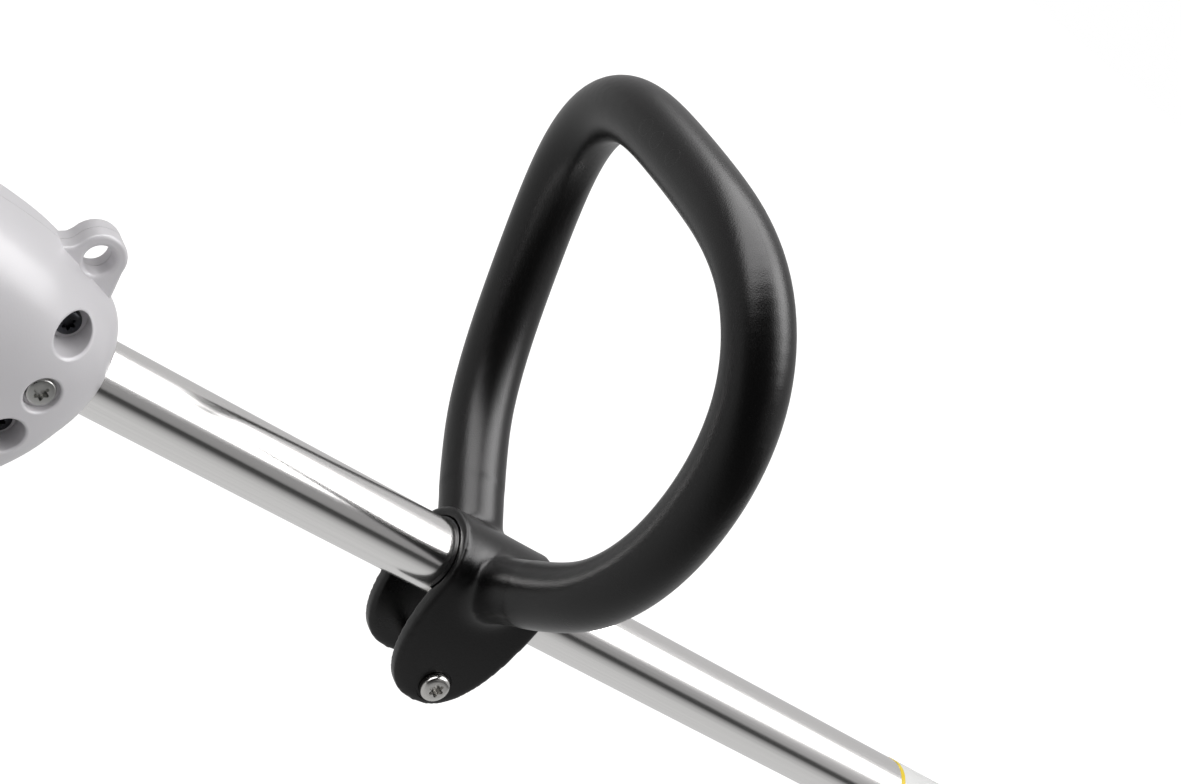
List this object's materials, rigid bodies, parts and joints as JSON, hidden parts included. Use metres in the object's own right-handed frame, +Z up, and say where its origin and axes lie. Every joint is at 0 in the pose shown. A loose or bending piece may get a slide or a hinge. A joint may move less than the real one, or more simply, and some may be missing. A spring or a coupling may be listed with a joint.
{
  "type": "string trimmer",
  "caption": "Cordless string trimmer with motor housing and rear grip, straight metal tube, adjustable loop handle, bevel gear head, deflector and bump-feed line head.",
  "frame": {"origin": "centre of the base of the overall box", "axes": "+X along the tube towards the cutting head, +Y across the tool along the bore of the hanging eye, +Z up"},
  "size_m": [1.5998, 0.2378, 0.2815],
  "materials": {
    "housing_plastic": "light warm grey, satin gloss",
    "dark_plastic": "black, fine texture",
    "grey_plastic": "mid grey, plain",
    "ivory_plastic": "natural nylon",
    "tube_metal": "polished tube",
    "label_film": "white film, bare",
    "black_screws": "black oxide",
    "zinc_steel": "zinc plated",
    "spring_steel": "bright wire",
    "drive_steel": "ground steel",
    "motor_metal": "cast end caps and stator, satin",
    "board_green": "coated board",
    "cell_wrap": "wrapped cans",
    "line_nylon": "clear orange nylon"
  },
  "bodies": {
    "frame": {"housing_left": "housing_plastic", "housing_right": "housing_plastic", "battery_dock": "housing_plastic", "hand_guard": "dark_plastic", "shell_screws": "black_screws", "tube_screw": "zinc_steel", "base_skids": "grey_plastic", "drive_tube": "tube_metal", "tube_label": "label_film", "shaft_bushes": "ivory_plastic", "motor_stator": "motor_metal", "motor_end_caps": "motor_metal", "motor_bearings": "drive_steel", "control_board": "board_green", "trigger_pin": "zinc_steel", "trigger_spring": "spring_steel", "trigger_switch": "grey_plastic", "lockout_pin": "zinc_steel", "lockout_spring": "spring_steel", "terminal_block": "grey_plastic", "gear_housing": "dark_plastic", "gear_cover": "dark_plastic", "cover_screws": "zinc_steel", "socket_screw": "zinc_steel", "pinion_bearing": "drive_steel", "spindle_bearings": "drive_steel", "deflector": "dark_plastic", "deflector_screws": "zinc_steel", "line_cutter": "zinc_steel", "cutter_screws": "zinc_steel"},
    "drive": {"drive_shaft": "drive_steel", "shaft_coupling": "drive_steel", "motor_fan": "dark_plastic", "motor_rotor": "drive_steel", "pinion": "drive_steel"},
    "head": {"driven_gear": "drive_steel", "spindle": "drive_steel", "thrust_washer": "zinc_steel", "head_cup": "dark_plastic", "head_cover": "dark_plastic", "line_eyelets": "zinc_steel", "line_ends": "line_nylon", "feed_spring": "spring_steel"},
    "knob": {"bump_knob": "dark_plastic"},
    "reel": {"spool": "grey_plastic", "line_winding": "line_nylon"},
    "trigger": {"trigger": "dark_plastic"},
    "lockout": {"lockout_lever": "dark_plastic"},
    "battery": {"battery_case": "dark_plastic", "battery_cells": "cell_wrap", "latch_spring": "spring_steel"},
    "latch": {"battery_latch": "dark_plastic"},
    "sleeve": {"handle_liner": "grey_plastic"},
    "loop": {"loop_handle": "dark_plastic", "clamp_screw": "zinc_steel", "clamp_nut": "zinc_steel"}
  },
  "joints": [
    {"name": "head_spin", "type": "hinge", "parent": "frame", "child": "head", "pos_m": [0.72529, 0, 0.11014], "axis": [0.4695, 0, -0.8829], "continuous": true},
    {"name": "drive_spin", "type": "hinge", "parent": "frame", "child": "drive", "pos_m": [-0.35944, 0, 0.11014], "axis": [1, 0, 0], "continuous": true},
    {"name": "knob_press", "type": "slide", "parent": "head", "child": "knob", "axis": [-0.4695, 0, 0.8829], "range_m": [0, 0.006], "stiffness_N_per_m": 900, "springref_m": -0.004, "deforming": ["feed_spring"]},
    {"name": "spool_turn", "type": "hinge", "parent": "knob", "child": "reel", "pos_m": [0.72529, 0, 0.11014], "axis": [0.4695, 0, -0.8829], "continuous": true},
    {"name": "trigger_pull", "type": "hinge", "parent": "frame", "child": "trigger", "pos_m": [-0.55544, 0, 0.10914], "axis": [0, 1, 0], "range_deg": [0, 12], "stiffness_Nm_per_rad": 0.4, "springref_deg": -11.46},
    {"name": "lockout_press", "type": "hinge", "parent": "frame", "child": "lockout", "pos_m": [-0.61144, 0, 0.13414], "axis": [0, 1, 0], "range_deg": [-8, 0], "stiffness_Nm_per_rad": 0.2, "springref_deg": 11.46},
    {"name": "battery_slide", "type": "slide", "parent": "frame", "child": "battery", "axis": [-1, 0, 0], "range_m": [0, 0.1]},
    {"name": "latch_press", "type": "slide", "parent": "battery", "child": "latch", "axis": [0, 0, -1], "range_m": [0, 0.003], "stiffness_N_per_m": 800, "springref_m": -0.002, "deforming": ["latch_spring"]},
    {"name": "handle_slide", "type": "slide", "parent": "frame", "child": "sleeve", "axis": [1, 0, 0], "range_m": [-0.08, 0.18]},
    {"name": "handle_turn", "type": "hinge", "parent": "sleeve", "child": "loop", "pos_m": [-0.18944, 0, 0.11014], "axis": [1, 0, 0], "range_deg": [-45, 45]}
  ],
  "couplings": [
    {"joint": "drive_spin", "follows": "head_spin", "ratio": -1.4167}
  ]
}
